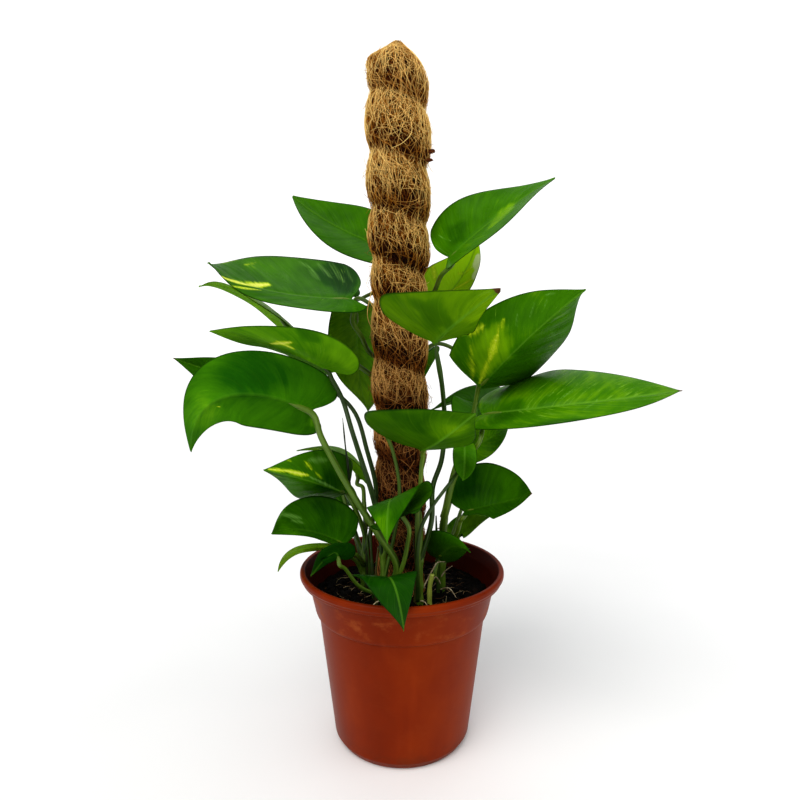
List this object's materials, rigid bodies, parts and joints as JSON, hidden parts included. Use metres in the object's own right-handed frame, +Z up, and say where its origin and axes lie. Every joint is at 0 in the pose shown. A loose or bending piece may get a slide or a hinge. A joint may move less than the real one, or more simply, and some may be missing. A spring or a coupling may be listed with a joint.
{
  "type": "potted climbing house plant",
  "caption": "Golden pothos with heart-shaped leaves on long stalks, climbing a coir-wrapped pole in a terracotta-coloured plastic nursery pot.",
  "frame": {"origin": "centre of the flat disc under the pot, on the surface the pot stands on", "axes": "+Z up along the pot and the pole; the side shown in the picture looks along +Y; +X is to its right"},
  "size_m": [0.4054, 0.2686, 0.562],
  "materials": {
    "terracotta_plastic": "satin moulded plastic",
    "potting_soil": null,
    "stake_wood": "raw wood",
    "coir_fibre": "loose wound coconut fibre",
    "green_stem": null,
    "leaf_blade": null
  },
  "bodies": {
    "root": {"pot": "terracotta_plastic", "soil": "potting_soil", "pole_stake": "stake_wood", "coir_wrap": "coir_fibre", "vine_front_left": "green_stem", "vine_front_right": "green_stem", "vine_left": "green_stem", "vine_right": "green_stem", "vine_back_left": "green_stem", "vine_back_right": "green_stem", "leaf_01": "leaf_blade", "leaf_02": "leaf_blade", "leaf_03": "leaf_blade", "leaf_04": "leaf_blade", "leaf_05": "leaf_blade", "leaf_06": "leaf_blade", "leaf_07": "leaf_blade", "leaf_08": "leaf_blade", "leaf_09": "leaf_blade", "leaf_10": "leaf_blade", "leaf_11": "leaf_blade", "leaf_12": "leaf_blade", "leaf_13": "leaf_blade", "leaf_14": "leaf_blade", "leaf_15": "leaf_blade", "leaf_16": "leaf_blade", "leaf_17": "leaf_blade", "leaf_18": "leaf_blade", "leaf_19": "leaf_blade", "leaf_20": "leaf_blade", "leaf_21": "leaf_blade", "leaf_22": "leaf_blade", "leaf_23": "leaf_blade", "leaf_24": "leaf_blade", "leaf_25": "leaf_blade", "leaf_26": "leaf_blade", "leaf_27": "leaf_blade", "leaf_28": "leaf_blade", "leaf_29": "leaf_blade", "leaf_30": "leaf_blade", "leaf_31": "leaf_blade", "leaf_32": "leaf_blade", "leaf_33": "leaf_blade"}
  },
  "joints": []
}
